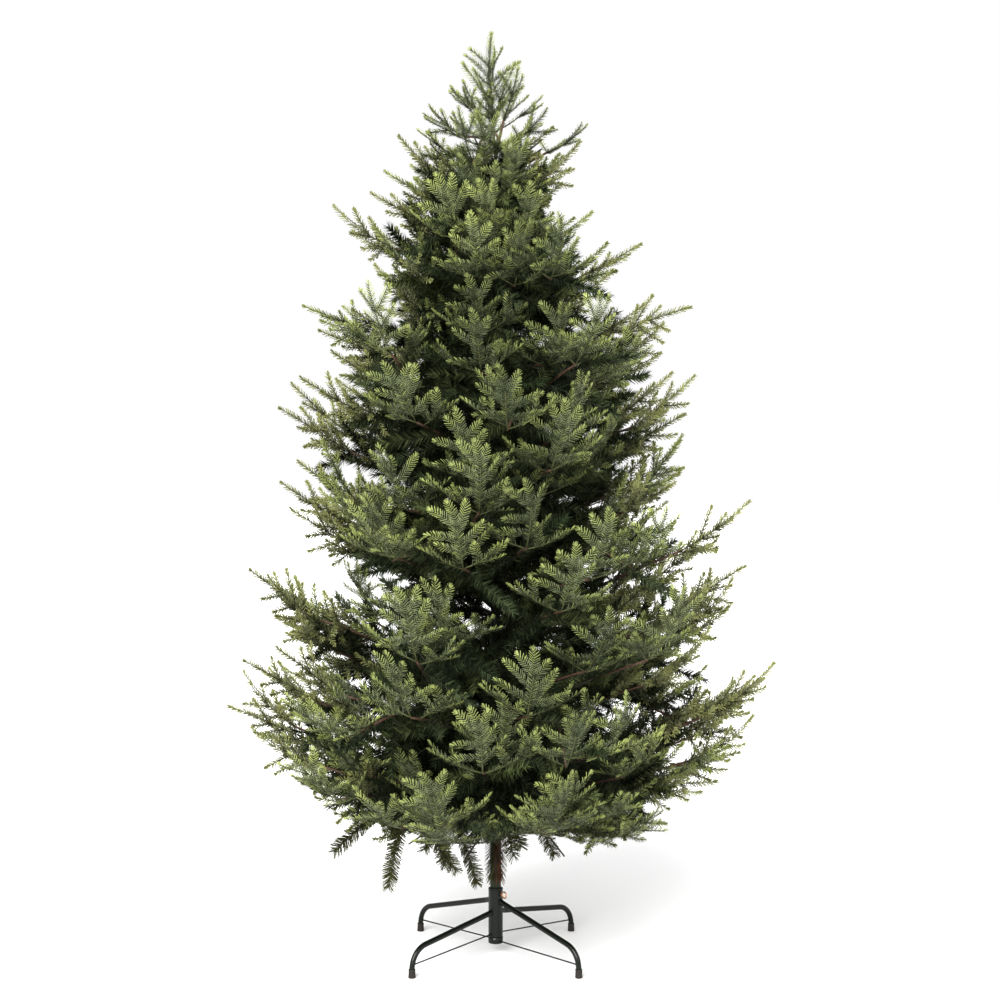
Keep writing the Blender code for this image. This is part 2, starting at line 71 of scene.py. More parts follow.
def grainFinish(name, dark, light, roughness, scale, bump, metallic=0.0):
    # fine noise for colour, relief and wear
    material = plainFinish(name, light, roughness, 0.32)
    nodes, links = material.node_tree.nodes, material.node_tree.links
    shader = nodes["Principled BSDF"]
    shader.inputs["Metallic"].default_value = metallic
    place = nodes.new("ShaderNodeTexCoord")
    noise = nodes.new("ShaderNodeTexNoise")
    noise.inputs["Scale"].default_value = scale
    noise.inputs["Detail"].default_value = 6
    ramp = nodes.new("ShaderNodeValToRGB")
    for stop, position, colour in zip(ramp.color_ramp.elements, (0.35, 0.65), (dark, light)):
        stop.position = position
        stop.color = (*colour, 1)
    relief = nodes.new("ShaderNodeBump")
    relief.inputs["Strength"].default_value = bump
    relief.inputs["Distance"].default_value = 0.0004
    wear = nodes.new("ShaderNodeMapRange")
    wear.inputs["To Min"].default_value = roughness - 0.07
    wear.inputs["To Max"].default_value = roughness + 0.09
    grain = noise.outputs["Fac"]
    links.new(place.outputs["Object"], noise.inputs["Vector"])
    links.new(grain, ramp.inputs["Fac"])
    links.new(ramp.outputs["Color"], shader.inputs["Base Color"])
    links.new(grain, relief.inputs["Height"])
    links.new(relief.outputs["Normal"], shader.inputs["Normal"])
    links.new(grain, wear.inputs["Value"])
    links.new(wear.outputs["Result"], shader.inputs["Roughness"])
    return material


print("mixing the finishes")
finishes = {
    "enamel": grainFinish("greenEnamel", (0.004, 0.006, 0.003), (0.007, 0.009, 0.006), 0.25, 900, 0.06),
    "pole": grainFinish("poleEnamel", (0.014, 0.022, 0.012), (0.022, 0.032, 0.018), 0.4, 700, 0.12),
    "plastic": grainFinish("blackPlastic", (0.01, 0.01, 0.01), (0.018, 0.018, 0.018), 0.45, 500, 0.15),
    "rubber": grainFinish("footRubber", (0.016, 0.013, 0.012), (0.03, 0.025, 0.022), 0.62, 400, 0.35),
    "copper": grainFinish("copperPlate", (0.5, 0.24, 0.13), (0.72, 0.42, 0.26), 0.26, 600, 0.08, 1.0),
    "tape": grainFinish("tapeWrap", (0.06, 0.034, 0.023), (0.12, 0.07, 0.046), 0.6, 260, 0.6),
    "innerTape": grainFinish("innerTape", (0.022, 0.026, 0.014), (0.05, 0.044, 0.026), 0.6, 260, 0.6),
    "spine": grainFinish("frondSpine", (0.08, 0.088, 0.036), (0.13, 0.138, 0.062), 0.5, 300, 0.3),
}
frondFinishes = [plainFinish(f"needle_{tone}_{place}", colour, 0.48, 0.22)
                 for tone, colours in frondTones.items() for place, colour in enumerate(colours)]
# needles under each finger get one dark colour: painted shade
frondFinishes.append(plainFinish("needle_painted_shade", (0.03, 0.036, 0.015), 0.5, 0.15))
twigFinishes = [plainFinish(f"film_{tone}_{place}", colour, 0.55, 0.12)
                for tone, colours in twigTones.items() for place, colour in enumerate(colours)]
frondToneNames, twigToneNames = list(frondTones), list(twigTones)
wireNames = ["tape", "spine", "innerTape"]
wireFinishes = [finishes[name] for name in wireNames]


# mesh tools
def polar(radius, azimuth, height):
    angle = radians(azimuth)
    return Vector((radius * cos(angle), radius * sin(angle), height))


def ringQuads(rings, sides):
    # quads between rings of points
    first = np.arange(sides)
    after = (first + 1) % sides
    return np.concatenate([np.stack([first + i, after + i, after + i + sides, first + i + sides], 1)
                           for i in range(0, sides * (rings - 1), sides)])


def tubeShape(points, radii, sides):
    # a tapered tube, nearly closed at both ends
    path = np.array([tuple(p) for p in points])
    ahead = np.gradient(path, axis=0)
    ahead /= np.linalg.norm(ahead, axis=1)[:, None]
    side = np.cross(ahead[0], (0, 0, 1) if abs(ahead[0][2]) < 0.9 else (1, 0, 0))
    rings = []
    angles = np.arange(sides) * 2 * pi / sides
    for spot, along, radius in zip(path, ahead, radii):
        side = side - along * np.dot(side, along)
        side /= np.linalg.norm(side)
        upper = np.cross(along, side)
        rings.append(spot + radius * (np.outer(np.cos(angles), side) + np.outer(np.sin(angles), upper)))
    rings = [path[0] + (rings[0] - path[0]) * 0.05] + rings + [path[-1] + (rings[-1] - path[-1]) * 0.05]
    return np.concatenate(rings), ringQuads(len(rings), sides)


class Batch:
    # gathers small shapes into one mesh
    def __init__(self):
        self.points, self.quads, self.finishes, self.count = [], [], [], 0

    def add(self, points, quads, finish):  # one finish for all, or one for each quad
        self.points.append(points)
        self.quads.append(quads + self.count)
        self.finishes.append(np.broadcast_to(finish, len(quads)))
        self.count += len(points)

    def tube(self, points, radii, sides, finish):
        self.add(*tubeShape(points, radii, sides), finish)

    def build(self, name, materials, smooth):
        points = np.concatenate(self.points).astype(np.float32)
        corners = np.concatenate([quads.ravel() for quads in self.quads]).astype(np.int32)
        sizes = np.concatenate([np.full(len(quads), quads.shape[1]) for quads in self.quads])
        mesh = bpy.data.meshes.new(name)
        mesh.vertices.add(len(points))
        mesh.vertices.foreach_set("co", points.ravel())
        mesh.loops.add(len(corners))
        mesh.loops.foreach_set("vertex_index", corners)
        mesh.polygons.add(len(sizes))
        mesh.polygons.foreach_set("loop_start", (np.cumsum(sizes) - sizes).astype(np.int32))
        mesh.polygons.foreach_set("material_index", np.concatenate(self.finishes).astype(np.int32))
        mesh.polygons.foreach_set("use_smooth", np.full(len(sizes), smooth))
        mesh.update(calc_edges=True)
        for material in materials:
            mesh.materials.append(material)
        piece = bpy.data.objects.new(name, mesh)
        bpy.context.scene.collection.objects.link(piece)
        return piece


def lathe(name, profile, material, sides=64):
    # turns (radius, height) points about the upright axis
    batch = Batch()
    angles = np.arange(sides) * 2 * pi / sides
    rings = [np.stack([r * np.cos(angles), r * np.sin(angles), np.full(sides, z)], 1) for r, z in profile]
    batch.add(np.concatenate(rings), ringQuads(len(profile), sides)[:, [0, 3, 2, 1]], 0)
    return batch.build(name, [material], True)


def finished(piece, slot, *replaced):
    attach(piece, "root")
    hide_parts(*replaced)


def tubePiece(name, tubes, finish, slot, *replaced):
    # tubes: points, radii and sides of each
    batch = Batch()
    for points, radii, sides in tubes:
        batch.tube(points, radii, sides, 0)
    finished(batch.build(name, [finishes[finish]], True), slot, *replaced)


# the same rings, tiers and seed as the solid crown
crown = {
    "rings": [  # height on the pole, height of the tips, reach of the tips
        (0.3, 0.36, 0.5), (0.365, 0.49, 0.59), (0.445, 0.615, 0.635), (0.62, 0.85, 0.58),
        (0.77, 1.01, 0.565), (0.92, 1.145, 0.475), (1.07, 1.285, 0.49), (1.22, 1.455, 0.45),
        (1.37, 1.62, 0.38), (1.51, 1.71, 0.275), (1.63, 1.865, 0.23), (1.75, 1.97, 0.18),
    ],
    "tiers": [(6, 30.0), (6, 0.0), (5, 36.0), (5, 0.0), (4, 45.0), (4, 0.0)],  # masses, azimuth of the first
    "height": 2.1,
    "seed": 7,
    "leftTips": [  # of plain boughs at the left: height, reach
        (1.93, 0.17), (1.87, 0.19), (1.83, 0.225), (1.78, 0.25), (1.72, 0.275), (1.66, 0.37), (1.47, 0.44),
        (1.41, 0.39), (1.35, 0.37), (1.285, 0.48), (1.235, 0.48), (1.11, 0.44), (1.055, 0.5), (1.0, 0.46),
        (0.87, 0.55), (0.83, 0.53), (0.76, 0.49), (0.675, 0.56), (0.6, 0.615), (0.56, 0.595), (0.5, 0.55),
        (0.46, 0.53), (0.4, 0.43), (0.33, 0.36),
    ],
    "rightTips": [  # at the right
        (1.86, 0.13), (1.875, 0.22), (1.83, 0.2), (1.78, 0.16), (1.66, 0.22), (1.61, 0.33), (1.52, 0.27),
        (1.47, 0.43), (1.41, 0.4), (1.29, 0.45), (1.22, 0.42), (1.15, 0.45), (1.01, 0.57), (0.93, 0.48),
        (0.87, 0.58), (0.84, 0.5), (0.82, 0.55), (0.74, 0.46), (0.645, 0.63), (0.62, 0.6), (0.57, 0.61),
        (0.52, 0.585), (0.46, 0.54), (0.39, 0.45), (0.31, 0.38),
    ],
    "frontTips": [  # in front: height, offset from the middle
        (1.86, -0.03), (1.8, 0.05), (1.76, -0.07), (1.7, -0.02), (1.69, 0.08), (1.61, -0.05), (1.59, 0.06),
        (1.4, -0.04), (1.42, 0.15), (1.28, 0.19), (1.2, -0.07), (1.22, 0.15), (1.02, -0.08), (1.0, 0.24),
        (0.86, -0.12), (0.8, 0.24), (0.72, -0.21), (0.73, 0.08), (0.62, -0.03), (0.64, 0.28), (0.49, -0.13),
        (0.49, 0.17), (0.42, -0.27), (0.44, -0.13), (0.44, 0.13), (0.42, 0.28), (0.38, 0.2), (0.38, 0.07),
        (0.33, 0.31), (1.3, -0.22), (1.13, -0.24), (1.03, -0.26), (0.93, 0.17), (1.06, 0.08),
    ],
    "frontShare": 0.9,  # of the rings' reach, in front
    "sideSwing": 11,  # degrees that tips at the sides swing by
    "near": 0.15,  # a rule's tip this near to these gives way
    "edges": [  # height, reach of other boughs left and right
        (1.97, 0.08, 0.06), (1.9, 0.15, 0.08), (1.83, 0.18, 0.12), (1.74, 0.21, 0.15), (1.69, 0.23, 0.12),
        (1.6, 0.28, 0.24), (1.53, 0.25, 0.2), (1.45, 0.38, 0.38), (1.375, 0.32, 0.32), (1.27, 0.44, 0.41),
        (1.15, 0.39, 0.4), (1.04, 0.46, 0.4), (0.92, 0.38, 0.44), (0.85, 0.51, 0.53), (0.7, 0.47, 0.45),
        (0.6, 0.57, 0.58), (0.5, 0.54, 0.52), (0.4, 0.41, 0.45), (0.32, 0.35, 0.38),
    ],
    "floor": (0.258, 0.06, 0.17),  # of inner twigs, and its rise for each metre across and deep
    "hungFloor": 0.152,
    "ceiling": 1.84,  # of film twigs
}
topTier = len(crown["tiers"]) - 1
ringFeet, ringTips, ringReaches = zip(*crown["rings"])

# moulded fronds
frond = {
    "length": 0.18,
    "fingerLengths": [0.04, 0.05, 0.06, 0.074, 0.098],
    "spacing": 0.0049,  # along a finger from needle to needle
    "needleLength": 0.0142,
    "needleWidth": 0.0019,
    "twist": 0.4,  # of each needle at most, in radians
    "pitch": 51,  # degrees from the wire
    "places": (0.14, 0.6),  # where a finger's colour changes
    "sides": (2.0, 178.0),  # degrees round the wire
    "above": (52.0, 128.0),
    "under": (-32.0, -148.0),  # of the dark needles below, their colour a painted shade
    "collar": 0.02,  # a set of needles on the spine
    "spineRadius": 0.0017,
    "wireRadius": 0.0009,
    "wireFinish": "spine",
}
slimFrond = {**frond, "needleLength": 0.0124, "twist": 0.9, "pitch": 46, "wireRadius": 0.0012,
             "wireFinish": "innerTape"}
roundFrond = {**slimFrond, "needleLength": 0.012, "needleWidth": 0.0029, "twist": 1.0, "pitch": 44,
              "density": 3.8}  # needles all round, for each spacing
frondKinds = {"plump": frond, "slim": slimFrond, "round": roundFrond}
fingerEnd = [  # needles round a finger's end: degrees, share of the wire, lean, size
    (0, 0.99, 22, 0.85), (180, 0.99, 22, 0.85), (90, 0.98, 28, 0.75), (30, 1.0, 8, 0.8),
    (150, 1.0, 8, 0.8), (60, 1.0, 15, 0.8), (120, 1.0, 15, 0.8)]

# slit-film twigs: dark bottle brushes inside
twig = {
    "lengths": [0.1, 0.13, 0.16],
    "needles": 1.16,  # for each millimetre
    "needleLength": 0.025,
    "needleWidth": 0.0028,
    "pitch": 52,
    "turn": 180,  # degrees from needle to needle
    "twist": 0.4,
    "taper": 0.6,
    "pointed": True,
    "wireRadius": 0.0012,
    "onBough": [10, 10, 10, 10, 6, 0],  # on each limb, by tier
    "boughShare": 0.84,  # how far along a limb they stand
    "branchShare": 0.88,  # and along a bare branch
}
hungTwig = {**twig, "lengths": [0.08, 0.12, 0.145], "needles": 2.6, "needleLength": 0.022,
            "needleWidth": 0.0018, "pitch": 62, "turn": goldenAngle, "taper": 0.4, "pointed": False}


# needles
def blades(bases, aims, widths, length, width, pointed):
    # a flat needle for each base
    half = widths * (width * 0.5)[:, None]
    tips = bases + aims * length[:, None]
    if pointed:
        return np.stack([bases - half, tips, bases + half], 1)
    return np.stack([bases - half * 0.8, tips - half * 0.75, tips + half * 0.75, bases + half * 0.8], 1)


def needleSet(rng, wire, shape, share, turn, lean, size, pointed):
    # needles at shares of a wire along +X, turned and leaning
    length, bendY, bendZ = wire  # its length, and its end's bend in Y and Z
    count = len(share)
    radial = np.stack([np.zeros(count), np.cos(turn), np.sin(turn)], 1)
    ahead = np.stack([np.full(count, length), 2 * share * bendY, 2 * share * bendZ], 1)
    ahead /= np.linalg.norm(ahead, axis=1)[:, None]
    bases = np.stack([share * length, share ** 2 * bendY, share ** 2 * bendZ], 1)
    aims = ahead * np.cos(lean)[:, None] + radial * np.sin(lean)[:, None]
    aims /= np.linalg.norm(aims, axis=1)[:, None]
    # each lies flat in the plane of wire and needle, twisted a little
    inPlane = ahead - aims * np.sum(ahead * aims, axis=1)[:, None]
    inPlane /= np.linalg.norm(inPlane, axis=1)[:, None]
    twist = rng.uniform(-1, 1, count)[:, None] * shape["twist"]
    widths = inPlane * np.cos(twist) + np.cross(aims, inPlane) * np.sin(twist)
    needles = blades(bases, aims, widths, shape["needleLength"] * size,
                     shape["needleWidth"] * rng.uniform(0.85, 1.15, count), pointed)
    corners = needles.shape[1]
    return needles.reshape(-1, 3), np.arange(count * corners).reshape(-1, corners)


def mouldedShape(rng, wire, shape, tip=True):
    # a feather: pale needles at the sides and above, and below them needles coloured dark as painted shade
    count = max(int(wire[0] / shape["spacing"]), 2)
    step = np.arange(count)
    allRound = "density" in shape
    if allRound:
        many = round(count * shape["density"])
        turn = np.arange(many) * goldenAngle
        share = (np.arange(many) + 0.3) / many
        size = np.ones(many)
    else:
        turn = np.concatenate([np.repeat(shape["sides"], count), np.where(step % 2, *shape["above"])])
        share = np.tile((step + 0.15) / count, 3)
        size = np.repeat([1.0, 1.0, 0.85], count)
    close = np.clip((share - 0.78) / 0.22, 0, 1) if tip else np.zeros(len(share))
    lean = shape["pitch"] - 22 * close
    size = size * (1 - 0.12 * close)
    if tip:
        turn, share, lean, size = (np.concatenate(pair) for pair in zip(
            (turn, share, lean, size), np.transpose(fingerEnd)))
    many = len(share)
    along = share + rng.uniform(-0.1, 0.1, many) / count
    turn = np.radians(turn + rng.uniform(-8, 8, many))
    lean = np.radians(lean + rng.uniform(-3, 3, many))
    pale = needleSet(rng, wire, shape, along, turn, lean, size * rng.uniform(0.92, 1.06, many), False)
    place = np.digitize(share + rng.uniform(-0.05, 0.05, many), shape["places"])
    if allRound:
        return [(*pale, place)]
    # the needles below the wire, given the dark painted shade colour
    share = np.tile((step + 0.62) / count, 2)
    turn = np.radians(np.repeat(shape["under"], count) + rng.uniform(-14, 14, count * 2))
    wide = {**shape, "needleWidth": shape["needleWidth"] * 1.25}
    dark = needleSet(rng, wire, wide, share, turn, np.radians(shape["pitch"] - 15 * share),
                     np.full(count * 2, 0.74), True)
    return [(*pale, place), (*dark, np.full(count * 2, -1))]


def filmShape(rng, wire, shape):
    # a bottle brush of slit film
    count = int(wire[0] * 1000 * shape["needles"])
    share = 0.01 + 0.99 * (np.arange(count) + rng.uniform(0, 0.5, count)) / count
    turn = np.radians(np.arange(count) * shape["turn"] + rng.uniform(-48, 48, count))
    close = np.clip((share - 0.84) / 0.16, 0, 1)
    lean = np.radians(shape["pitch"] * (1 - shape["taper"] * close) + rng.uniform(-5, 5, count))
    size = rng.uniform(0.88, 1.06, count) * (1 - 0.2 * close)
    points, faces = needleSet(rng, wire, shape, share, turn, lean, size, shape["pointed"])
    # lighter needles, more of them towards the twig's end: partly painted highlight, partly tone that differs
    # at random
    place = np.where(rng.random(count) < 0.25 + 0.35 * share, 1, 0)
    return points, faces, place


def wireShape(wire, radius):
    # a thin three-sided wire, open at its ends
    end = np.array(wire) * (0.97, 0.97 ** 2, 0.97 ** 2)
    turns = np.radians([90, 210, 330])
    ring = np.stack([np.zeros(3), np.cos(turns), np.sin(turns)], 1) * radius
    return np.concatenate([ring, end + ring * 0.5]), ringQuads(2, 3)


print("shaping the needles")
makeRandom = np.random.default_rng(crown["seed"])
variants = 4  # of each finger, collar and twig
fingerShapes, twigShapes, collarShapes = {}, {}, {}
for kind, shape in frondKinds.items():
    for index, size in enumerate(frond["fingerLengths"]):
        for variant in range(variants):
            wire = (size, size * makeRandom.uniform(-0.2, 0.2), size * makeRandom.uniform(0.02, 0.2))
            needles = mouldedShape(makeRandom, wire, shape)
            fingerShapes[kind, index, variant] = needles, wireShape(wire, shape["wireRadius"])
    for variant in range(variants):
        collarShapes[kind, variant] = mouldedShape(makeRandom, (frond["collar"], 0, 0), shape, False)
for kind, shape in (("inner", twig), ("hung", hungTwig)):
    for index, size in enumerate(shape["lengths"]):
        for variant in range(variants):
            wire = (size, size * makeRandom.uniform(-0.12, 0.12), size * makeRandom.uniform(-0.1, 0.12))
            needles = filmShape(makeRandom, wire, shape)
            twigShapes[kind, index, variant] = needles, wireShape(wire, shape["wireRadius"])


def nearestIndex(sizes, length):
    return min(range(len(sizes)), key=lambda i: abs(sizes[i] - length))


def edgeAt(heights, across):
    # how far the crown reaches at these heights, on each point's side
    levels, left, right = np.array(crown["edges"])[::-1].T
    return np.where(np.asarray(across) < 0, np.interp(heights, levels, left),
                    np.interp(heights, levels, right))


def pulledIn(end):
    share = min(float(edgeAt(end.z, end.x)) / max(abs(end.x), 0.001), 1)
    return Vector((end.x * share, end.y * share, end.z))


def axesOf(ahead, upper):
    side = upper.cross(ahead).normalized()
    return [tuple(ahead), tuple(side), tuple(ahead.cross(side).normalized())]


def placed(points, axes, origin):
    return points @ np.array(axes) + np.array(tuple(origin))


# how the fingers stand on a frond
fullBuild = {
    "kind": "plump",
    "pairs": 3,
    "spacing": 0.031,  # from pair to pair
    "angle": 34,  # of the pair nearest the end, in degrees
    "spread": 44,  # how much wider the last pair opens
    "reach": 0.052,  # length of the fingers, and how much this grows to the root
    "swell": 0.012,
    "stagger": 0.004,
    "end": 0.06,  # length of the end finger
    "bend": 14,  # of the spine, in degrees
    "bare": 1,  # collars left off at the root
    "thumbs": 0.8,  # how often one stands up from the root
    "lift": (-14, 30),  # of the fingers, in degrees
    "roll": (-24, 24),  # of the frond, in degrees
    "tones": [("fresh", 0.28), ("plain", 0.72), ("shade", 1.28), ("olive", 2)],  # each up to this roll
}
sideBuild = {**fullBuild, "pairs": 2, "spacing": 0.029, "angle": 38, "spread": 32, "reach": 0.046,
             "swell": 0.006, "end": 0.05, "thumbs": 0.2}
# spears mostly take the darker edge tone: painted shade at the sides
spearBuild = {**fullBuild, "kind": "round", "spacing": 0.034, "spread": 16, "reach": 0.054, "swell": 0.016,
              "end": 0.09, "bend": 8, "thumbs": 0.3, "lift": (-30, 18), "roll": (20, 55),
              "tones": [("edge", 0.85), ("plain", 0.97), ("shade", 2)]}
openBuild = {**fullBuild, "kind": "slim", "pairs": 2, "spacing": 0.04, "angle": 38, "spread": 8,
             "stagger": 0.008, "end": 0.066, "bend": 18, "bare": 0, "thumbs": 0, "lift": (-24, 28)}


class Foliage:
    # the pieces of one tier
    def __init__(self):
        self.fronds, self.twigs, self.wires = Batch(), Batch(), Batch()

    def wire(self, points, radii, sides, finish):
        self.wires.tube(points, radii, sides, wireNames.index(finish))

    def thinWire(self, shape, quads, axes, origin, finish):
        self.wires.add(placed(shape, axes, origin), quads, wireNames.index(finish))

    def needled(self, shapes, axes, origin, tone):
        for needles, faces, place in shapes:
            # place -1 marks the needles below, which take the painted shade colour
            finish = np.where(place < 0, len(frondFinishes) - 1, place + 3 * frondToneNames.index(tone))
            self.fronds.add(placed(needles, axes, origin), faces, finish)

    def finger(self, rng, origin, ahead, upper, length, tone, kind):
        index = nearestIndex(frond["fingerLengths"], length)
        needles, wire = fingerShapes[kind, index, rng.randrange(variants)]
        axes = axesOf(ahead, upper)
        self.needled(needles, axes, origin, tone)
        self.thinWire(*wire, axes, origin, frondKinds[kind]["wireFinish"])

    def filmTwig(self, rng, origin, ahead, size, tone, kind="inner"):
        # adds the twig unless it stands outside the crown
        (needles, faces, place), wire = twigShapes[kind, size, rng.randrange(variants)]
        upper = Vector((rng.uniform(-1, 1), rng.uniform(-1, 1), 0.7)).cross(ahead)
        axes = axesOf(ahead, upper.normalized())
        points = placed(needles, axes, origin)
        across, heights = points[:, 0], points[:, 2]
        if kind == "hung":
            outside = heights.min() < crown["hungFloor"]
        else:
            lowest = crown["floor"][0] + np.abs(points[:, :2]) @ np.array(crown["floor"][1:])
            outside = ((heights < lowest).any() or heights.max() > crown["ceiling"]
                       or (np.abs(across) > edgeAt(heights, across)).any())
        if outside:
            return False
        self.twigs.add(points, faces, place + 2 * twigToneNames.index(tone))
        self.thinWire(*wire, axes, origin, "innerTape")
        return True

    def growFrond(self, rng, base, ahead, upper, length, tone, build):
        # a spine with pairs of fingers and one at its end
        bend, kind, end = radians(build["bend"]), build["kind"], build["end"]
        stem = length - end
        side = ahead.cross(upper).normalized()
        upper = side.cross(ahead).normalized()
        steps = max(round(stem / frond["collar"]), 2)
        spine, aims = [base.copy()], []
        for i in range(steps):
            turn = bend * ((i + 0.5) / steps - 0.35)
            aims.append((ahead * cos(turn) + upper * sin(turn)).normalized())
            spine.append(spine[-1] + aims[-1] * stem / steps)
        radii = [frond["spineRadius"] * (1 - 0.4 * i / steps) for i in range(steps + 1)]
        self.wire(spine, radii, 4, frondKinds[kind]["wireFinish"])
        for i in range(build["bare"], steps):  # needles on the spine itself
            collar = collarShapes[kind, rng.randrange(variants)]
            self.needled(collar, axesOf(aims[i], side.cross(aims[i])), spine[i], tone)

        def spot(distance):
            place = min(distance / stem, 0.999) * steps
            i = int(place)
            return spine[i].lerp(spine[i + 1], place - i), aims[i]

        pairs = min(int((stem - 0.022) / build["spacing"]) + 1, build["pairs"])
        for pair in range(pairs):
            distance = stem - 0.004 - pair * build["spacing"]
            back = pair / max(pairs - 1, 1)
            reach = build["reach"] + build["swell"] * sin(min(back * 1.5 + 0.15, 1.0) * pi * 0.5)
            for hand in (-1, 1):
                place = distance + rng.uniform(-0.005, 0.005) + hand * build["stagger"]
                origin, along = spot(max(place, 0.012))
                angle = radians(build["angle"] + build["spread"] * back + rng.uniform(-9, 9))
                lift = radians(rng.uniform(*build["lift"]))
                normal = side.cross(along).normalized()
                flat = along * cos(angle) + side * (hand * sin(angle))
                aim = (flat * cos(lift) + normal * sin(lift)).normalized()
                self.finger(rng, origin, aim, normal, reach * rng.uniform(0.85, 1.1), tone, kind)
        origin, along = spot(length)
        self.finger(rng, origin - along * 0.006, along, side.cross(along).normalized(), end, tone, kind)
        if rng.random() < build["thumbs"]:  # a thumb that stands up from the root
            origin, along = spot(length * 0.22)
            up = side.cross(along).normalized()
            aim = (along * 0.7 + up * 0.6 + side * rng.uniform(-0.5, 0.5)).normalized()
            self.finger(rng, origin, aim, along, 0.056, tone, kind)


def swung(ahead, angle, lift):
    # turned sideways and lifted, in degrees
    side = ahead.cross(Vector((0, 0, 1))).normalized()
    upper = side.cross(ahead).normalized()
    angle, lift = radians(angle), radians(lift)
    flat = ahead * cos(angle) - side * sin(angle)
    return (flat * cos(lift) + upper * sin(lift)).normalized()


def curvePoints(start, ahead, end, steps):
    middle = start + ahead * (end - start).length * 0.45
    return [start * (1 - t) ** 2 + middle * 2 * t * (1 - t) + end * t ** 2
            for t in (i / steps for i in range(steps + 1))]


def pointAt(points, share):
    place = min(share, 0.999) * (len(points) - 1)
    index = int(place)
    span = points[index + 1] - points[index]
    return points[index].lerp(points[index + 1], place - index), span.normalized()


def upperOf(ahead, tilt):
    side = ahead.cross(Vector((0, 0, 1))).normalized()
    return Matrix.Rotation(radians(tilt), 3, ahead) @ side.cross(ahead).normalized()


def rolled(rng, aim, build):
    # the upper side of a frond; spears turn it to the front or back
    tilt = rng.uniform(*build["roll"])
    if build is spearBuild and (aim.x > 0) != (aim.y < 0.2):
        tilt = -tilt
    return upperOf(aim, tilt)


def pickTone(rng, inner, build):
    # inner fronds roll 0.35 higher, so they take the darker shade tone or olive and never fresh: painted
    # shade inside the crown
    roll = rng.random() + (0.35 if inner else 0)
    return next(tone for tone, limit in build["tones"] if roll < limit)


limb = {
    "rise": 4,  # of end fronds above their limbs, in degrees
    "massRise": 10,  # on the masses
    "facing": 22,  # added in front and behind
    "faded": ([0.36, 0.46], [0, 1]),  # between these heights
    "steepest": 52,  # degrees, of any end frond
    "spears": 0.3,  # limbs that point sideways, up to this, end in spears
    "longer": 1.1,  # how much longer spears are
    "slopes": ([0.3, 1.3, 1.46, 1.65, 1.8], [0.5, 0.5, 0.28, 0.36, 0.5]),  # of plain boughs, by height
    "lowest": 0.3,  # where the lowest start
    "plainSize": 0.95,
    "plainStem": (0.1, 0.004),  # bare share of a plain bough, and its radius
    "radius": 0.0038,
    "taper": 0.00014,  # from step to step
    "steps": 8,
    "dark": 5,  # steps before the brown end
}
# fronds beside the end one: place on the limb, angle, size, lift
boughSides = [(0.99, 58, 0.76, 0), (0.93, -60, 0.74, -6), (0.74, -34, 0.8, 12)]
plainSides = [(0.99, -58, 0.76, 0), (0.92, 60, 0.74, -6)]
spearSides = [(0.99, -50, 0.8, -12), (0.92, 52, 0.78, -20), (0.74, -32, 0.85, 4), (0.56, 38, 0.8, -6)]


def dressBough(foliage, rng, points, aim, size, sides, twigs, build):
    # fronds at the limb's end and film twigs along it
    length = frond["length"] * size
    upper = rolled(rng, aim, build)
    foliage.growFrond(rng, points[-1], aim, upper, length, pickTone(rng, False, build), build)
    sideways = sideBuild if build is fullBuild else build
    mirror = rng.choice((-1, 1))
    for share, angle, part, lift in sides:
        base = pointAt(points, share)[0]
        way = swung(aim, (angle + rng.uniform(-7, 7)) * mirror, lift + rng.uniform(-8, 8))
        # side fronds near the limb's root count as inner and take darker tones: painted shade
        foliage.growFrond(rng, base, way, rolled(rng, way, sideways), length * part * rng.uniform(0.92, 1.08),
                          pickTone(rng, share < 0.8, sideways), sideways)
    dressTwigs(foliage, rng, points, twigs, twig["boughShare"])


def dressTwigs(foliage, rng, points, count, reachShare):
    for i in range(count):
        share = 0.02 + reachShare * (i + rng.random() * 0.6) / count
        base, ahead = pointAt(points, share)
        hand = 1 if i % 2 else -1
        angle, lift = hand * rng.uniform(28, 62), rng.uniform(-40, 40)
        size, tone = rng.choice((0, 1, 1, 2)), rng.choice(("deep", "pine", "pine", "moss"))
        if not foliage.filmTwig(rng, base, swung(ahead, angle, lift), size, tone):
            foliage.filmTwig(rng, base, swung(ahead, angle, abs(lift) * 0.6), 0, tone)


def growBranch(foliage, rng, points, twigs):
    # a bare branch with film twigs
    foliage.wire(points, mass["branchRadii"], 5, "innerTape")
    dressTwigs(foliage, rng, points, twigs, twig["branchShare"])


def growLimb(foliage, rng, root, aim, end, size, sides, tier, rise):
    # a limb whose end frond ends at the given point
    build = fullBuild if tier < topTier else openBuild
    direction = (end - root).normalized()
    across = direction.y ** 2 / (direction.x ** 2 + direction.y ** 2)
    steep = rise + limb["facing"] * across * np.interp(end.z, *limb["faded"]) + rng.uniform(-5, 5)
    steep = min(asin(direction.z) + radians(steep), radians(limb["steepest"]))
    if build is fullBuild and across < limb["spears"]:
        build, sides, size = spearBuild, spearSides, size * limb["longer"]
    flat = Vector((direction.x, direction.y, 0)).normalized()
    upward = flat * cos(steep) + Vector((0, 0, sin(steep)))
    tip = end - upward * frond["length"] * size * 0.97
    points = curvePoints(root, (aim + direction) / 2, tip, limb["steps"])
    radii = [limb["radius"] - limb["taper"] * i for i in range(limb["steps"] + 1)]
    dark = limb["dark"]
    foliage.wire(points[:dark + 1], radii[:dark + 1], 5, "innerTape")
    foliage.wire(points[dark:], radii[dark:], 5, "tape")
    dressBough(foliage, rng, points, upward, size, sides, twig["onBough"][tier], build)


def footHeight(tipHeight):
    # where on the pole such a bough starts
    return float(np.interp(tipHeight, ringTips, ringFeet))


def tierScale(tier):
    return (ringReaches[tier * 2] / max(ringReaches)) ** 0.35


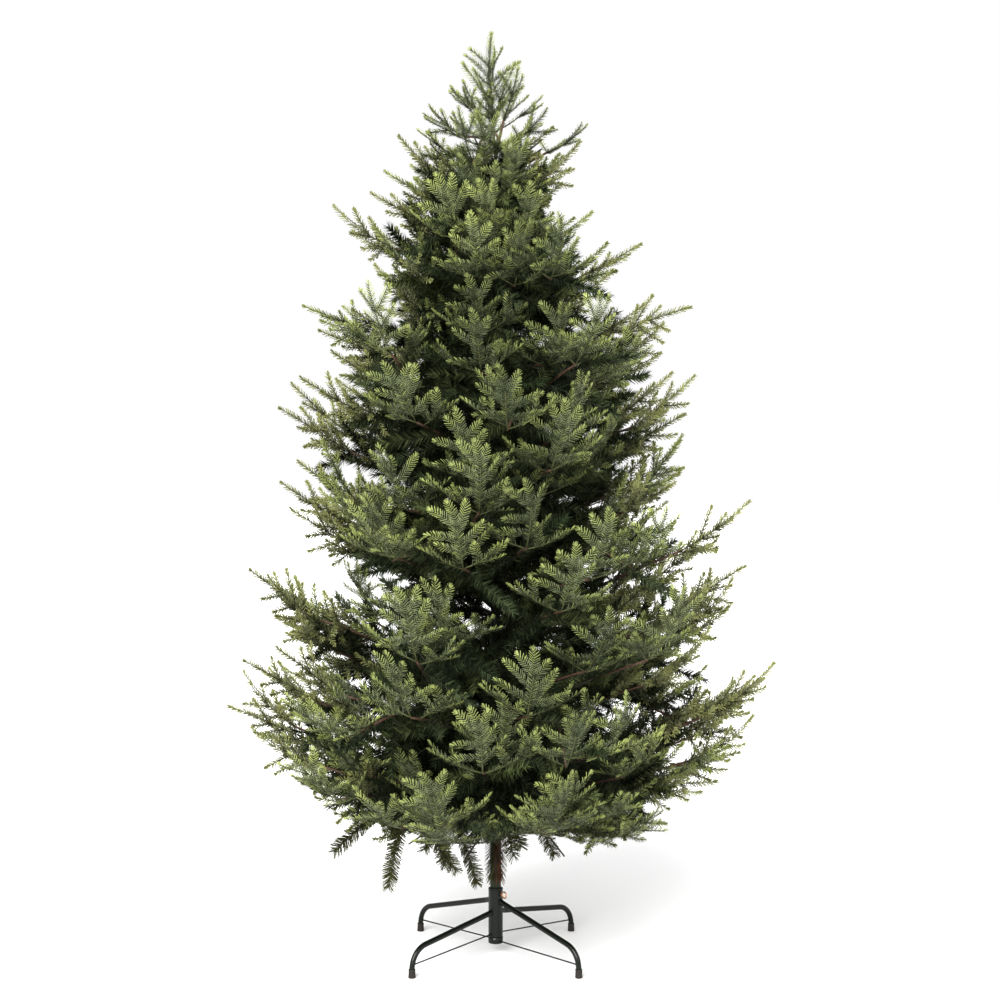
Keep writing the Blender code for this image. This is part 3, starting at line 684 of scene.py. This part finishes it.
def tipBetween(rng, lower, upper, shares, azimuth, play):
    # a tip halfway between two rings
    reach = (lower[2] + upper[2]) / 2 * rng.uniform(*shares)
    azimuth += rng.uniform(-play, play)
    return polar(reach, azimuth, (lower[1] + upper[1]) / 2 + rng.uniform(-0.02, 0.02))


def plainBoughs():
    # for each mass a bough beside it, one over it and one behind
    rng = random.Random(crown["seed"])
    rings = crown["rings"]
    ends, inner = [], []
    for tier, (masses, first) in enumerate(crown["tiers"]):
        lower, upper = rings[tier * 2:tier * 2 + 2]
        for number in range(masses):
            azimuth = first + number * 360 / masses
            ends.append(tipBetween(rng, lower, upper, (0.86, 0.94), azimuth + 180 / masses, 6))
            if tier < topTier:
                ends.append(tipBetween(rng, upper, rings[tier * 2 + 2], (0.76, 0.86), azimuth, 10))
    for tier, (masses, first) in enumerate(crown["tiers"][:topTier]):
        for number in range(masses):
            _, height, reach = rings[tier * 2 + number % 2]
            azimuth = first + (number + 0.5) * 360 / masses + rng.uniform(-10, 10)
            inner.append(polar(reach * rng.uniform(0.64, 0.74), azimuth, height + rng.uniform(0.01, 0.05)))
    places = [polar(reach, middle + (i % 3 - 1) * crown["sideSwing"], height)
              for middle, tips in ((180, crown["leftTips"]), (0, crown["rightTips"]))
              for i, (height, reach) in enumerate(tips)]
    for height, offset in crown["frontTips"]:
        reach = crown["frontShare"] * float(np.interp(height, ringTips, ringReaches))
        places.append(Vector((offset, -sqrt(reach ** 2 - offset ** 2), height)))
    free = list(range(len(ends)))  # those nearest to the given tips give way
    for place in places:
        nearest = min(free, key=lambda i: (ends[i] - place).length)
        if (ends[nearest] - place).length < crown["near"]:
            free.remove(nearest)
    return [pulledIn(end) for end in [ends[i] for i in free] + inner] + places


def growPlainBough(foliage, tier, index, end, stems):
    rng = random.Random(crown["seed"] * 100 + index)
    drop = Vector((end.x, end.y)).length * np.interp(end.z, *limb["slopes"])
    root = Vector((0, 0, max(limb["lowest"], end.z - drop)))
    bare, radius = limb["plainStem"]
    start = root.lerp(end, bare)
    stems.append(([root, start], radius))
    sides = plainSides if tier < topTier else plainSides[:1]
    growLimb(foliage, rng, start, (end - root).normalized(), end, tierScale(tier) * limb["plainSize"], sides,
             tier, limb["rise"])


mass = {
    "fork": 0.32,  # where the stem forks, as a share of its way
    "swing": 0.22,  # of each tip, as a share of the mass's width
    "stemRadius": 0.0052,
    "sides": [3, 3, 3, 3, 2, 0],  # fronds beside each end frond, by tier
    "branches": [(0.3, 15, 46), (0.7, -50, 40), (0.5, -30, -44)],  # place on the stem, angle, lift
    "branchLength": 0.17,
    "branchRadii": [0.0026, 0.0024, 0.0022, 0.0018],
    "onBranch": [5, 5, 5, 5, 5, 2],  # film twigs, by tier
    "onPole": [5, 5, 5, 5, 5, 3],
    "onStem": [9, 9, 9, 9, 9, 4],
}


def growMass(foliage, tier, number, stems):
    # a stem that forks into two limbs, and dark twigs inside
    masses, first = crown["tiers"][tier]
    lower, upper = crown["rings"][tier * 2:tier * 2 + 2]
    nextFoot = ringFeet[tier * 2 + 2] if tier < topTier else leader["foot"]
    scale = tierScale(tier)
    azimuth = first + number * 360 / masses
    rng = random.Random(crown["seed"] * 1000 + tier * 50 + number)
    ends = []
    for (_, height, reach), side in ((lower, -1), (upper, 1)):
        reach *= rng.uniform(0.95, 1.0)
        way = azimuth + side * (180 / masses * 2 * mass["swing"]) + rng.uniform(-3, 3)
        ends.append(pulledIn(polar(reach, way, height + rng.uniform(-0.012, 0.012))))
    foot = Vector((0, 0, lower[0] * 0.6 + upper[0] * 0.4))
    middle = (ends[0] + ends[1]) / 2
    ahead = (middle - foot).normalized()
    fork = foot + ahead * (middle - foot).length * mass["fork"]
    stems.append(([foot + ahead * 0.008, fork], mass["stemRadius"]))
    sides = boughSides[:mass["sides"][tier]]
    for end in ends:
        growLimb(foliage, rng, fork, ahead, end, scale, sides, tier, limb["massRise"])
    for share, angle, lift in mass["branches"]:  # two that rise and one that falls
        base = foot.lerp(fork, share)
        aim = swung(ahead, angle + rng.uniform(-10, 10), lift)
        branch = [base + aim * mass["branchLength"] * scale * i / 3 for i in range(4)]
        growBranch(foliage, rng, branch, mass["onBranch"][tier])
    for i in range(2):  # short inner boughs hide the pole
        rise = (nextFoot - foot.z) * (0.15 + 0.7 * (number * 2 + i) / (masses * 2))
        root = Vector((0, 0, foot.z + rise + 0.01))
        aim = polar(1, azimuth + goldenAngle * i + 60, rng.uniform(0.5, 1.0)).normalized()
        branch = [root + aim * (0.012 + 0.06 * scale * k) for k in range(4)]
        growBranch(foliage, rng, branch, mass["onPole"][tier])
    for i in range(mass["onStem"][tier]):  # film twigs near the pole
        base = foot.lerp(fork, 0.08 + 0.9 * i / mass["onStem"][0])
        aim = swung(ahead, rng.uniform(-75, 75), rng.choice((-1, 1)) * rng.uniform(10, 62))
        tone = rng.choice(("deep", "deep", "pine", "rust" if i < 3 and rng.random() < 0.5 else "pine"))
        foliage.filmTwig(rng, base, aim, rng.choice((1, 1, 2)) if tier < topTier else 0, tone)


leader = {
    "foot": 1.8,
    "bare": 0.08,  # from the stem's end to the very top
    "tip": 0.074,  # the finger at the very top
    "radius": 0.0034,
    "collars": (9, 1.84),  # on the stem, and where the first starts
    "shoots": 24,
    "single": 0.125,  # shoots up to this length are single fingers
    "heights": (2.018, 1.815),  # of the first shoot and the last
    "lengths": (0.056, 0.185),
    "pitches": (52, 14),
    "offset": -0.015,  # of the top, sideways
    "twigs": (8, 1.66, 0.01),  # film twigs at its foot, height of the first, rise
}


def growLeader(foliage, stems):
    # an upright stem, fingers round its top and open fronds below
    foot, offset = leader["foot"], leader["offset"]
    upwards, front = Vector((0, 0, 1)), Vector((0, -1, 0))
    rise = crown["height"] - leader["bare"] - foot
    points = [Vector((offset * i / 4, 0, foot + rise * i / 4)) for i in range(5)]
    rng = random.Random(crown["seed"])
    stems.append((points, leader["radius"]))
    foliage.finger(rng, points[-1] - upwards * 0.004, upwards, front, leader["tip"], "plain", "slim")
    collars, height = leader["collars"]
    for i in range(collars):
        spot = (offset, 0, height + frond["collar"] * i)
        foliage.needled(collarShapes["slim", i % variants], [(0, 0, 1), (1, 0, 0), (0, 1, 0)], spot, "plain")
    for i in range(leader["shoots"]):
        share = i / (leader["shoots"] - 1)
        height, length, pitch = (
            a + (b - a) * share for a, b in (leader["heights"], leader["lengths"], leader["pitches"]))
        azimuth = i * goldenAngle + 175 + rng.uniform(-8, 8)
        lift = radians(pitch + rng.uniform(-5, 5))
        aim = polar(cos(lift), azimuth, sin(lift))
        root = Vector((offset * 0.8, 0, height))
        if length < leader["single"]:
            foliage.finger(rng, root, aim, upperOf(aim, 90), length, "plain", "slim")
        else:
            foliage.growFrond(rng, root, aim, upperOf(aim, rng.uniform(-35, 35)), length,
                              pickTone(rng, False, openBuild), {**openBuild, "pairs": 1})
    twigs, height, step = leader["twigs"]
    for i in range(twigs):
        root = Vector((0, 0, height + step * i))
        foliage.filmTwig(rng, root, polar(0.5, i * goldenAngle + 60, 0.86), 0, "deep")


print("growing the crown")
stems, total = [], 0
plainEnds = plainBoughs()
for tier in range(topTier + 2):
    foliage = Foliage()
    if tier <= topTier:
        for number in range(crown["tiers"][tier][0]):
            growMass(foliage, tier, number, stems)
        for index, end in enumerate(plainEnds):
            if sum(footHeight(end.z) >= height - 0.001 for height in ringFeet[::2]) - 1 == tier:
                growPlainBough(foliage, tier, index, end, stems)
        replaced = [name for name in nodeNames if name.startswith(f"foliage_{tier + 1}_")]
    else:
        growLeader(foliage, stems)
        replaced = ["foliage_leader"]
    for kind, batch, materials, smooth in (("fronds", foliage.fronds, frondFinishes, False),
                                           ("filmTwigs", foliage.twigs, twigFinishes, False),
                                           ("wires", foliage.wires, wireFinishes, True)):
        piece = batch.build(f"{kind}{tier + 1}", materials, smooth)
        finished(piece, "bark_wrap" if kind == "wires" else "needles", *replaced)
        piece.data.calc_loop_triangles()
        total += len(piece.data.loop_triangles)
        print(piece.name, len(piece.data.loop_triangles), "triangles")
print("the crown has", total, "triangles")

print("wrapping the boughs")
wrap = {"turn": 0.003, "ridge": 0.035, "taper": 0.22}  # of the tape, and the stem's taper
tubes = []
for points, radius in stems:
    length = (points[-1] - points[0]).length
    steps = max(int(length / wrap["turn"]), 4)
    spots = [pointAt(points, i / steps)[0] for i in range(steps + 1)]
    radii = [radius * (1 - wrap["taper"] * i / steps) * (1 + wrap["ridge"] * (i % 2))
             for i in range(steps + 1)]
    tubes.append((spots, radii, 10))
boughNodes = [name for name in nodeNames if name.startswith("bough")]
tubePiece("boughStems", tubes, "innerTape", "bark_wrap", *boughNodes)

print("hanging the tuft round the pole's foot")
tuft = {
    "top": 0.275,
    "bottom": 0.174,
    "poleRadius": 0.0127,
    "needles": 520,
    "needleLength": 0.02,
    "needleWidth": 0.0018,
    "leans": (26, 50),  # degrees from straight down, at the bottom and above
    "curve": 0.04,  # over this height
    "reddish": -20,  # azimuth of the middle of its reddish side
    "seed": 3,
    "hangers": [  # film twigs that hang free: from, to
        ((-0.205, -0.149, 0.335), (-0.238, -0.17, 0.206)), ((-0.15, -0.15, 0.33), (-0.1, -0.175, 0.245)),
        ((-0.09, -0.035, 0.305), (-0.02, -0.03, 0.166)), ((-0.18, 0.15, 0.335), (-0.24, 0.19, 0.24)),
        ((-0.27, -0.08, 0.335), (-0.35, -0.11, 0.262)), ((0.02, -0.21, 0.345), (0.045, -0.27, 0.275)),
        ((-0.13, -0.03, 0.32), (-0.17, -0.06, 0.235)), ((-0.12, 0.02, 0.32), (-0.13, 0.0, 0.215)),
        ((0.03, -0.04, 0.33), (0.07, -0.06, 0.245)), ((0.08, 0.02, 0.33), (0.125, 0.02, 0.24)),
        ((0.15, 0.03, 0.33), (0.205, 0.03, 0.255)), ((0.21, -0.05, 0.34), (0.27, -0.06, 0.265)),
        ((0.17, 0.19, 0.335), (0.215, 0.245, 0.235)), ((-0.04, 0.23, 0.335), (-0.06, 0.29, 0.24)),
    ],
    "hangerSeed": 5,
}
rng = np.random.default_rng(tuft["seed"])
count = tuft["needles"]
heights = np.linspace(tuft["top"], tuft["bottom"], count)
turns = np.arange(count) * radians(goldenAngle) + rng.uniform(0, 0.4, count)
radial = np.stack([np.cos(turns), np.sin(turns), np.zeros(count)], 1)
upward = np.array((0, 0, 1.0))
lean = np.interp(heights, [tuft["bottom"], tuft["bottom"] + tuft["curve"]], tuft["leans"])
lean = np.radians(lean + rng.uniform(-7, 7, count))
needles = blades(radial * tuft["poleRadius"] + upward * heights[:, None],
                 radial * np.sin(lean)[:, None] - upward * np.cos(lean)[:, None],
                 np.stack([-np.sin(turns), np.cos(turns), np.zeros(count)], 1),
                 np.full(count, tuft["needleLength"]), np.full(count, tuft["needleWidth"]), False)
reddish = np.cos(turns - radians(tuft["reddish"])) > 0.2
tones = np.where(reddish, twigToneNames.index("rust"), twigToneNames.index("tuft"))
places = tones * 2 + (rng.random(count) < 0.6)
hung = Foliage()
hung.twigs.add(needles.reshape(-1, 3), np.arange(count * 4).reshape(-1, 4), places)
drawn = random.Random(tuft["hangerSeed"])
for start, end in tuft["hangers"]:
    start, way = Vector(start), Vector(end) - Vector(start)
    size = nearestIndex(hungTwig["lengths"], way.length)
    hung.filmTwig(drawn, start, way.normalized(), size, "tuft", "hung")
finished(hung.twigs.build("hungTwigs", twigFinishes, False), "needles", "foliage_foot")
finished(hung.wires.build("hungWires", wireFinishes, True), "bark_wrap", "foliage_foot")

print("building the pole")
pole = {
    "foot": 0.0387,
    "sections": [(0.0125, 0.72), (0.011, 1.3), (0.0095, 1.8)],  # radius, height of the top
    "edge": 0.0005,
    "hole": 0.0005,  # radius left open at its ends
}
foot, edge, hole = pole["foot"], pole["edge"], pole["hole"]
profile = [(hole, foot), (pole["sections"][0][0] - edge, foot), (pole["sections"][0][0], foot + edge)]
for (radius, top), (narrow, _) in zip(pole["sections"], pole["sections"][1:]):
    profile += [(radius, top - 0.001), (radius - 0.0006, top), (narrow + 0.0003, top + 0.0006),
                (narrow, top + 0.0015)]
radius, top = pole["sections"][-1]
profile += [(radius, top - 0.0015), (radius - 0.0007, top), (hole, top)]
finished(lathe("pole", profile[::-1], finishes["pole"]), "pole_green", "trunk_pole")

print("building the stand")
stand = {
    "socket": (0.0163, 0.039, 0.146),  # radius, bottom, top
    "wall": 0.003,
    "rim": [  # radius, height
        (0.0131, 0.15), (0.015, 0.15), (0.0163, 0.1494), (0.0166, 0.1486), (0.0166, 0.147),
        (0.0163, 0.1463), (0.0131, 0.1463), (0.0131, 0.15)],
    "hub": [
        (0.0005, 0.0386), (0.016, 0.0386), (0.0167, 0.038), (0.0167, 0.0262), (0.0162, 0.025),
        (0.015, 0.0245), (0.0005, 0.0245)],
    "legs": [  # name, azimuth, height at the socket, slope, height of its brace
        ("front_left", 225.0, 0.0945, 8.6, 0.0455),
        ("front_right", 315.0, 0.1195, 14.8, 0.03),
        ("back_right", 45.0, 0.0945, 8.6, 0.0455),
        ("back_left", 135.0, 0.1195, 14.8, 0.032),
    ],
    "legRadius": 0.006,
    "spread": 0.255,
    "bend": 0.046,  # radius of the leg's bend
    "lean": 8.0,  # of its lower end, in degrees
    "end": 0.0056,
    "braceRadius": 0.0015,
    "braceOuter": 0.0275,
    "footRadius": 0.008,
    "footHeight": 0.019,
    "cap": [  # radius as a share of the foot's, height
        (0.78, 0.013), (0.78, 0.019), (0.88, 0.019), (0.93, 0.0183), (0.94, 0.016), (0.9, 0.0148),
        (0.92, 0.0134), (0.98, 0.004), (1, 0.0022), (0.99, 0.0008), (0.9, 0.0), (0.0625, 0.0)],
}
radius, bottom, top = stand["socket"]
inside = radius - stand["wall"]
socketProfile = [(inside, top), (radius - 0.0006, top), (radius, top - 0.0006), (radius, top - 0.001),
                 (radius, bottom + 0.0012), (radius, bottom + 0.0008), (radius - 0.0008, bottom),
                 (inside, bottom), (inside, top)]
finished(lathe("socket", socketProfile, finishes["enamel"]), "stand_steel", "stand_socket")
finished(lathe("socketRim", stand["rim"], finishes["plastic"]), "black_plastic", "socket_rim")
finished(lathe("braceHub", stand["hub"], finishes["enamel"]), "stand_steel", "brace_hub")


def legPath(height, slope):
    # distances and heights from the socket to the foot
    slope, lean, bend = radians(slope), radians(stand["lean"]), stand["bend"]
    run, drop = Vector((cos(slope), -sin(slope))), Vector((sin(lean), -cos(lean)))
    start, ankle = Vector((0.0165, height)), Vector((stand["spread"], stand["footHeight"] + 0.001))
    across = ankle - start
    distance = (across.x * drop.y - across.y * drop.x) / (run.x * drop.y - run.y * drop.x)
    turn = pi / 2 - slope - lean
    bendStart = start + run * distance - run * bend * tan(turn / 2)
    centre = bendStart - bend * Vector((sin(slope), cos(slope)))
    path = [start + run * step for step in (-0.0015, 0.0015, 0.004, 0.02)] + [bendStart - run * 0.02]
    for i in range(15):
        angle = pi / 2 - slope - turn * i / 14
        path.append(centre + bend * Vector((cos(angle), sin(angle))))
    return path + [ankle, Vector((stand["spread"], stand["end"]))]


for name, azimuth, height, slope, braceHeight in stand["legs"]:
    path = [polar(distance, azimuth, z) for distance, z in legPath(height, slope)]
    size = stand["legRadius"]
    radii = [size * 1.22, size * 1.16] + [size] * (len(path) - 2)  # swells at the weld
    tubePiece(f"leg_{name}_tube", [(path, radii, 28)], "enamel", "stand_steel", f"leg_{name}")
    inner = polar(stand["socket"][0], azimuth, braceHeight)
    outer = polar(stand["spread"] - 0.0062, azimuth, stand["braceOuter"])
    path = [inner, inner.lerp(outer, 0.03), inner.lerp(outer, 0.97), outer]
    radii = [stand["braceRadius"] * k for k in (1.5, 1.0, 1.0, 1.4)]
    tubePiece(f"brace_{name}_rod", [(path, radii, 14)], "enamel", "stand_steel", f"brace_{name}")
    profile = [(stand["footRadius"] * share, z) for share, z in stand["cap"]]
    cap = lathe(f"foot_{name}_cap", profile, finishes["rubber"], 40)
    cap.data.transform(Matrix.Translation(polar(stand["spread"], azimuth, 0)))
    finished(cap, "rubber", f"foot_{name}")

print("screwing in the eye bolt")
eyeBolt = {
    "azimuth": 312.0,
    "height": 0.1375,
    "shank": 0.0026,
    "pitch": 0.0011,  # of the thread
    "groove": 0.84,
    "ring": 0.007,
    "wire": 0.0017,
    "reach": 0.029,  # of the ring's middle
    "arc": (8, 346),  # the ring's start and length, in degrees
}
azimuth, height, ring = eyeBolt["azimuth"], eyeBolt["height"], eyeBolt["ring"]
start, reach = stand["socket"][0], eyeBolt["reach"] - ring
turns = int((reach - start) / eyeBolt["pitch"]) * 2
shank = [polar(start + (reach - start) * i / turns, azimuth, height) for i in range(turns + 1)]
thread = [eyeBolt["shank"] * (1.0 if i % 2 else eyeBolt["groove"]) for i in range(turns + 1)]
centre, out = polar(eyeBolt["reach"], azimuth, height), polar(1, azimuth, 0)
begin, arc = eyeBolt["arc"]
spots = []
for i in range(41):
    angle = radians(begin + arc * i / 40)
    spots.append(centre + (out * -cos(angle) + Vector((0, 0, 1)) * sin(angle)) * ring)
tubes = [(shank, thread, 20), (spots, [eyeBolt["wire"]] * len(spots), 14)]
tubePiece("eyeBoltWire", tubes, "copper", "yellow_zinc", "eye_bolt")

print("setting up the studio")
scene = bpy.context.scene
studio = {
    "floorSize": 400,
    "floorColour": (0.95, 0.95, 0.95),
    "surround": 1.0,
    "key": {"strength": 5.2, "spread": 40, "from": (-0.5, -1.3, 0.95)},
    "softBox": {"place": (2.6, -3.2, 2.2), "size": 2.4, "watts": 50},
    "camera": (0.01, -3.477, 1.033),
    "lens": 54.9,
    "gamma": 0.86,
}
size = studio["floorSize"]
floorMesh = bpy.data.meshes.new("floor")
corners = [(-size, -size, 0), (size, -size, 0), (size, size, 0), (-size, size, 0)]
floorMesh.from_pydata(corners, [], [(0, 1, 2, 3)])
floorMesh.materials.append(plainFinish("paleFloor", studio["floorColour"], 0.9, 0.1))
world = bpy.data.worlds.new("surround")
world.use_nodes = True
background = world.node_tree.nodes["Background"]
background.inputs["Color"].default_value = (1, 1, 1, 1)
background.inputs["Strength"].default_value = studio["surround"]
key = bpy.data.lights.new("wideKey", "SUN")
key.energy = studio["key"]["strength"]
key.angle = radians(studio["key"]["spread"])
softBox = bpy.data.lights.new("softBox0", "AREA")
softBox.size = studio["softBox"]["size"]
softBox.energy = studio["softBox"]["watts"]
cameraData = bpy.data.cameras.new("camera")
cameraData.lens = studio["lens"]
cameraData.sensor_width = 36
stage = [bpy.data.objects.new(data.name, data) for data in (floorMesh, key, softBox)]
camera = bpy.data.objects.new("camera", cameraData)
for item in (*stage, camera):
    scene.collection.objects.link(item)
_, keyLamp, boxLamp = stage
keyLamp.rotation_euler = Vector(studio["key"]["from"]).to_track_quat("Z", "Y").to_euler()
boxLamp.location = studio["softBox"]["place"]
boxLamp.rotation_euler = (Vector((0, 0, 1.0)) - boxLamp.location).to_track_quat("-Z", "Y").to_euler()
camera.location = studio["camera"]
camera.rotation_euler = (pi / 2, 0, 0)
scene.world = world
scene.camera = camera
scene.view_settings.view_transform = "Standard"
scene.view_settings.gamma = studio["gamma"]
